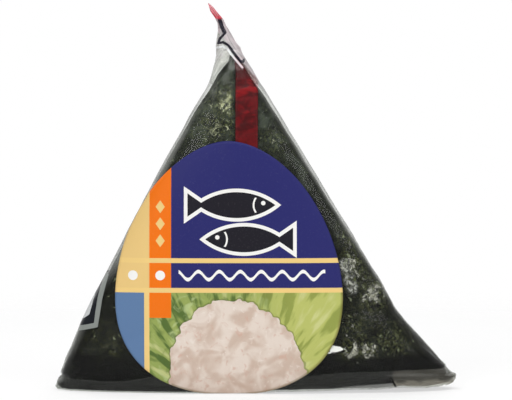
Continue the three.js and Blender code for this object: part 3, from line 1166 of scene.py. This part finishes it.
# %% [markdown]
# ## The tear strip
# A red film tape, 5.5 mm wide, runs up from the label, over the apex and down the back. It is
# thin enough to glow a little where only clear film lies under it. Cross wrinkles come from its
# being pulled round the apex.

# %% Tear strip
def paint_strip(pattern, place, x, y, z):
    clouds = pattern.noise(place, 0.5, detail=3.0, distortion=0.6)
    wrinkles_and_highlights = pattern.noise(pattern.vector(x * 0.35, y * 0.35, z), 0.6, detail=2.0)
    # The brightest red follows the cross wrinkles: painted highlight on them
    colour = pattern.layered(
        srgb(78, 25, 27),
        (pattern.step(clouds, 0.35, 0.65), srgb(112, 27, 31)),
        (pattern.step(z, 76, 80) * 0.6, srgb(56, 14, 18)),
        (pattern.step(wrinkles_and_highlights, 0.55, 0.75), srgb(146, 31, 35)),
    )
    normal = pattern.bump(wrinkles_and_highlights, 0.3, 0.6)
    solid = pattern.node(
        "ShaderNodeBsdfPrincipled", Base_Color=colour, Roughness=0.4, Specular_IOR_Level=0.12, Normal=normal,
    )
    beyond = pattern.step((x + 3.0) * 0.85 + (z - 80.9) * 0.52, 0.0, 0.5)
    tint = pattern.mix(beyond, srgb(226, 92, 100), srgb(252, 243, 244))
    clear = pattern.node("ShaderNodeBsdfTransparent", Color=tint)
    return pattern.blend(0.82 - 0.79 * beyond, clear, solid)


STRIP_TAPE = material("red_tape", paint_strip)
STRIP_COLUMNS = 14
STRIP_MIDDLE_Z = 60
STRIP_STEP = 0.8
STRIP_STARTS = 180
STRIP_UNDER_TAIL = 0.12
STRIP_SINKS = 2.0
STRIP_SINKS_FROM = 84.2
# Round the apex the strip is pushed sideways by this many mm, between these two angles. The push
# comes in and goes over the third number of degrees
APEX_LEAN = -0.9
LEAN_STARTS, LEAN_ENDS, LEAN_FADE = 117, 63, 18
STRIP_TURN = 1.2
# How far the tape's outer and inner faces lie off the form, in mm
STRIP_OUTER, STRIP_INNER = 0.30, 0.23


def strip_rays(x):
    """Rays that follow the strip from under the label, over the apex and down the back."""
    rays = []
    for angle in np.arange(STRIP_STARTS, 0, -STRIP_TURN):
        lean = APEX_LEAN * np.clip((LEAN_STARTS - angle) / LEAN_FADE, 0, 1)
        lean *= np.clip((angle - LEAN_ENDS) / LEAN_FADE, 0, 1)
        across, up = math.cos(math.radians(angle)), math.sin(math.radians(angle))
        rays.append(((x + lean, 0, STRIP_MIDDLE_Z), (0, across, up)))
    down = np.arange(STRIP_MIDDLE_Z, strip_low.z, -STRIP_STEP)
    return rays + [((x, 0, height), (0, 1, 0)) for height in down]


def strip_grid():
    columns = []
    for x in np.linspace(strip_low.x, strip_high.x, STRIP_COLUMNS):
        columns.append([on_form(*ray) for ray in strip_rays(x)])
    places = np.array([[hit[0] for hit in column] for column in columns])
    normals = np.array([[hit[1] for hit in column] for column in columns])
    return places.transpose(1, 0, 2), smoothed_normals(normals.transpose(1, 0, 2))


strip_places, strip_normals = strip_grid()
wrinkle = 0.05 * np.sin(strip_places[..., 2:3] * 2.1 + np.sin(strip_places[..., :1] * 0.9))
gathered = STRIP_SINKS * np.clip(strip_places[..., 2:3] - STRIP_SINKS_FROM, 0, 1)
gathered += STRIP_UNDER_TAIL * np.clip((strip_places[..., 2:3] - TAIL_FOOT) / TAIL_RISE, 0, 1)
strip = shell(
    "tear_tape", strip_places + (STRIP_OUTER + wrinkle - gathered) * strip_normals,
    strip_places + (STRIP_INNER + wrinkle - gathered) * strip_normals, STRIP_TAPE,
)
print("tear strip:", len(strip.data.vertices), "points")

# %% [markdown]
# ## The label's print
# The print is fields of colour with simple shapes on them, drawn by formulas in mm: a mound on
# green blades, two fish, a wave, dots and diamonds. Each shape is a distance that is under 0 inside
# it. Shapes join by the smaller of their distances, and overlap where the larger is under 0.

# %% Label shapes
def disc(x, z, centre_x, centre_z, radius):
    off_x, off_z = x - centre_x, z - centre_z
    return (off_x * off_x + off_z * off_z).apply("SQRT") - radius


def fish(x, z, centre_x, centre_z, heading):
    """A fish's body and tail as a distance, its eye and its gill line. heading is 1 to the right."""
    half_length, half_height = 9.6, 3.2
    radius = (half_length ** 2 + half_height ** 2) / (2 * half_height)
    lower = disc(x, z, centre_x, centre_z - radius + half_height, radius)
    upper = disc(x, z, centre_x, centre_z + radius - half_height, radius)
    back = (x - centre_x) * -heading
    tail_side = (z - centre_z).apply("ABSOLUTE") * 0.8 - (back - half_length + 1.6) * 0.55
    tail = tail_side.at_least(back - half_length - 2.6)
    eye = disc(x, z, centre_x + heading * 6.6, centre_z + 0.5, 0.55)
    gill = disc(x, z, centre_x + heading * 7.4, centre_z, 3.2).apply("ABSOLUTE") - 0.22
    gill = gill.at_least((x - centre_x) * heading - 6.2)
    body = lower.at_least(upper)
    return body.at_most(tail), eye, gill.at_least(body + 0.6)


# %% Label material
# Each cream line's lower edge and half its width, the upright line's width and the orange column
UPPER_LINE = 33.0
LOWER_LINE = 25.6
HALF_LINE = 0.6
POST_WIDTH = 1.3
ORANGE_FOOT = 19.3
COLUMN_LEFT = -26.5
COLUMN_RIGHT = -21.07
# The mound's middle in x and z, its half width and its height, and how far it leans left as it rises
MOUND = (-4.3, 2.5, 17.0, 21.0)
MOUND_LEAN = 0.09
# Each fish's middle in x and z and its heading, and the heights of the small shapes
FISH = [(-4.8, 47.4, 1), (-3.0, 38.9, -1)]
DOTS_Z = 29.9
DOT_RADIUS = 1.2
LEFT_DOT_X = COLUMN_LEFT - 4.1
DIAMONDS_Z = (38.5, 42.7, 46.9)
DIAMOND_SIZE = 1.6
# The wave runs this far to each side of its middle
WAVE_MIDDLE_X = -1.0
WAVE_REACH = 18.2
WAVE_LENGTH = 5.2
WAVE_HALF_WIDTH = 0.45
NAVY = srgb(38, 39, 104)
BLUE = srgb(94, 124, 164)
ORANGE = srgb(241, 116, 10)
SAND = srgb(233, 198, 128)
CREAM = srgb(238, 204, 130)
WHITE = srgb(244, 243, 240)


def leafy(pattern, x, z):
    """Green blades that fan out from under the mound, broader and yellower to the right."""
    from_x, from_z = x - MOUND[0], z + 8
    turn = from_x.apply("ARCTAN2", from_z)
    reach = (from_x * from_x + from_z * from_z).apply("SQRT")
    blades = pattern.noise(pattern.vector(turn * 9, reach * 0.06, 0.0), 1.2, detail=3.0, roughness=0.5)
    curls = pattern.noise(pattern.vector(x, 0.0, z), 0.28, detail=3.0, distortion=0.7)
    rightward = pattern.step(x, -8, 10)
    middle = pattern.mix(rightward, srgb(148, 164, 88), srgb(184, 190, 106))
    dark = pattern.mix(rightward, srgb(84, 108, 50), srgb(146, 156, 76))
    green = pattern.mix(pattern.step(blades, 0.5, 0.4), middle, dark)
    return pattern.layered(
        green,
        (pattern.step(blades, 0.56, 0.68) * 0.7, srgb(206, 208, 146)),
        (pattern.step(curls, 0.47, 0.3) * 0.7 * (1 - rightward), srgb(186, 202, 140)),
        (pattern.step(curls, 0.54, 0.68) * 0.55 * (1 - rightward), srgb(78, 106, 44)),
    )


def lumpy(pattern, x, z):
    """The mound's flaky surface, lit from above."""
    flat = pattern.vector(x, 0.0, z)
    lumps = pattern.noise(flat, 0.2, detail=2.0, distortion=0.6)
    flakes = pattern.noise(flat, 0.6, detail=3.0, distortion=1.0)
    return pattern.layered(
        srgb(226, 212, 200),
        (pattern.step(lumps, 0.62, 0.36), srgb(204, 182, 166)),
        (pattern.step(flakes, 0.56, 0.72) * 0.6, srgb(206, 168, 150)),
        (pattern.step(flakes, 0.40, 0.28) * 0.5, srgb(238, 228, 220)),
        (pattern.step(z + 5 * lumps, 9, 2) * 0.3, srgb(176, 144, 124)),
    )


def paint_label(pattern, place, x, y, z):
    right_of_column = pattern.inside(COLUMN_RIGHT - x)
    left_of_column = pattern.inside(x - COLUMN_LEFT)
    below = pattern.inside(z - LOWER_LINE)
    square = below * pattern.inside(ORANGE_FOOT - z) * (1 - right_of_column)
    blue = below * pattern.inside(x - COLUMN_LEFT + POST_WIDTH)
    lines = below * left_of_column * (1 - blue)
    for middle in (UPPER_LINE + HALF_LINE, LOWER_LINE + HALF_LINE):
        lines = lines.at_least(pattern.inside((z - middle).apply("ABSOLUTE") - HALF_LINE))

    off_x = (x - MOUND[0] + MOUND_LEAN * (z - MOUND[1])) / MOUND[2]
    off_z = (z - MOUND[1]) / MOUND[3]
    edge = pattern.noise(pattern.vector(x, 0.0, z), 0.4, detail=1.0)
    mound = (off_x * off_x + off_z * off_z).apply("SQRT") - 1.02 + 0.14 * (edge - 0.5)
    layers = [
        (right_of_column, NAVY),
        (left_of_column, SAND),
        (below, leafy(pattern, x, z)),
        (square, ORANGE),
        (blue, BLUE),
        (lines, CREAM),
        (pattern.inside(mound - 0.02) * below * 0.5, srgb(90, 96, 50)),
        (pattern.inside(mound) * below, lumpy(pattern, x, z)),
    ]
    for centre_x, centre_z, heading in FISH:
        body, eye, gill = fish(x, z, centre_x, centre_z, heading)
        layers.append((pattern.inside(body - 0.9), WHITE))
        layers.append((pattern.inside(body), srgb(22, 20, 30)))
        layers.append((pattern.inside(eye.at_most(gill)), WHITE))
    swing = (x * (2 * math.pi / WAVE_LENGTH)).apply("SINE")
    wave = (z - DOTS_Z - swing).apply("ABSOLUTE") - WAVE_HALF_WIDTH
    past_ends = (x - WAVE_MIDDLE_X).apply("ABSOLUTE") - WAVE_REACH
    layers.append((pattern.inside(wave.at_least(past_ends)), WHITE))
    column_middle = (COLUMN_LEFT + COLUMN_RIGHT) / 2
    for dot_x in (LEFT_DOT_X, column_middle):
        layers.append((pattern.inside(disc(x, z, dot_x, DOTS_Z, DOT_RADIUS)), WHITE))
    for diamond_z in DIAMONDS_Z:
        off_middle = (x - column_middle).apply("ABSOLUTE") * 1.4 + (z - diamond_z).apply("ABSOLUTE")
        layers.append((pattern.inside(off_middle - DIAMOND_SIZE), CREAM))
    # A thin olive-brown line along the label's lower edge is painted shade
    rim = pattern.step(pattern.attribute("share"), 0.972, 0.995) * below * right_of_column
    layers.append((rim * 0.55, srgb(112, 98, 52)))
    grain = pattern.noise(place, 2.4, detail=2.0)
    layers.append((pattern.step(grain, 0.55, 0.8) * 0.015, WHITE))
    return pattern.node(
        "ShaderNodeBsdfPrincipled", Base_Color=pattern.layered(ORANGE, *layers), Roughness=0.55,
        Specular_IOR_Level=0.2, Normal=pattern.bump(grain, 0.05, 0.3),
    )


LABEL_PAPER = material("label_paper", paint_label)

# %% Label
LABEL_RINGS = 56
LABEL_SPOKES = 240
# How far in from the pack's left edge the label ends where it reaches it
LABEL_INSET = 0.9
# How far the label's outer and inner faces lie off the form, in mm
LABEL_OUTER, LABEL_INNER = 0.48, 0.38


def label_grid():
    """Rings from the label's middle out to its egg outline, laid on the form."""
    places, normals, shares = [], [], []
    for share in np.linspace(0.01, 1, LABEL_RINGS):
        for turn in np.linspace(0, 2 * math.pi, LABEL_SPOKES, endpoint=False):
            across, up = math.cos(turn), math.sin(turn)
            power = EGG_TOP_POWER if up > 0 else EGG_BOTTOM_POWER
            reach = share * (abs(across) ** power + abs(up) ** power) ** (-1 / power)
            x = EGG_CENTRE_X + EGG_HALF_WIDTH * across * reach
            z = EGG_WIDEST_Z + (EGG_RISE if up > 0 else EGG_DROP) * up * reach
            edge = np.interp(z, left_z, left_x) + LABEL_INSET
            place, normal = on_form((max(x, edge), 0, z), (0, -1, 0))
            places.append(place)
            normals.append(normal)
            shares.append(share)
    grid = (LABEL_RINGS, LABEL_SPOKES)
    return np.array(places).reshape(*grid, 3), np.array(normals).reshape(*grid, 3), np.array(shares)


label_places, label_normals, label_shares = label_grid()
label_normals = smoothed_normals(label_normals)
label = shell(
    "label_sheet", label_places + LABEL_OUTER * label_normals,
    label_places + LABEL_INNER * label_normals, LABEL_PAPER, rings=True,
)
set_attribute(label, "share", [*label_shares, *label_shares, 0, 0])
print("label:", len(label.data.vertices), "points")

# %% [markdown]
# ## Light and floor
# Soft boxes stand where a flat face doesn't mirror them at the camera, so the faces stay dark and
# only crinkles catch them. The sky is near white to the eye, as in the photo, but dimmer as a
# light, because a bright one would turn the film milky.

# %% Light and floor
SKY_LIGHT = 0.14
SKY_MIRRORED = 0.5
SKY_SEEN = 1.0
FLOOR_SOLID = 150
FLOOR_GONE = 330


def soft_box(name, place, size, watts):
    lamp = bpy.data.lights.new(name, "AREA")
    lamp.shape = "RECTANGLE"
    lamp.size, lamp.size_y = (side * MM for side in size)
    lamp.energy = watts
    made = in_scene(name, lamp)
    made.location = Vector(place) * MM
    made.rotation_euler = (AIM - Vector(place)).to_track_quat("-Z", "Y").to_euler()


soft_box("key", (-380, -560, 480), (420, 420), 2.4)
soft_box("fill", (560, -460, 300), (420, 420), 1.4)
soft_box("top front", (60, -260, 640), (500, 160), 2.0)
soft_box("back left", (-300, 360, 620), (420, 420), 1.8)
soft_box("back right", (300, 360, 620), (420, 420), 1.4)

world = bpy.data.worlds.new("studio")
world.use_nodes = True
world.node_tree.nodes.clear()
sky = Pattern(world.node_tree)
light_path = sky.node("ShaderNodeLightPath")
seen = Field(sky, light_path.outputs["Is Camera Ray"])
mirrored = Field(sky, light_path.outputs["Is Glossy Ray"])
strength = seen * (SKY_SEEN - SKY_LIGHT) + mirrored * (SKY_MIRRORED - SKY_LIGHT) + SKY_LIGHT
background = sky.node("ShaderNodeBackground", Color=(1, 1, 1, 1), Strength=strength)
sky.feed(sky.node("ShaderNodeOutputWorld").inputs["Surface"], background.outputs[0])
bpy.context.scene.world = world
bpy.context.scene.view_settings.view_transform = "Standard"


def paint_floor(pattern, place, x, y, z):
    gone = pattern.step((x * x + y * y).apply("SQRT"), FLOOR_SOLID, FLOOR_GONE)
    pale = pattern.node("ShaderNodeBsdfDiffuse", Color=(0.92, 0.92, 0.92, 1))
    lit_table = pattern.blend(0.6, pale, pattern.node("ShaderNodeEmission", Strength=1.0))
    return pattern.blend(gone, lit_table, pattern.node("ShaderNodeBsdfTransparent"))


side = 2 * FLOOR_GONE
corners = [(-side, -side, 0), (side, -side, 0), (side, side, 0), (-side, side, 0)]
floor = new_object("floor", corners, [(0, 1, 2, 3)], material("pale_floor", paint_floor))

# %% [markdown]
# ## Hand over
# Each piece is attached to the body it moves with, and the solids that the pieces stand for are hidden.
# The smooth form was only a mould, so it goes.

# %% Hand over
bpy.data.objects.remove(form)
HANDED_OVER = [
    (ball, "seaweed"),
    (bag, "clear_film"),
    (hem, "clear_film"),
    (tail, "clear_film"),
    (strip, "red_tape"),
    (label, "label_paper"),
]
for piece, slot in HANDED_OVER:
    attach(piece, "root")
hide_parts("wrapped_rice_ball")
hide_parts("tear_strip")
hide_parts("label")
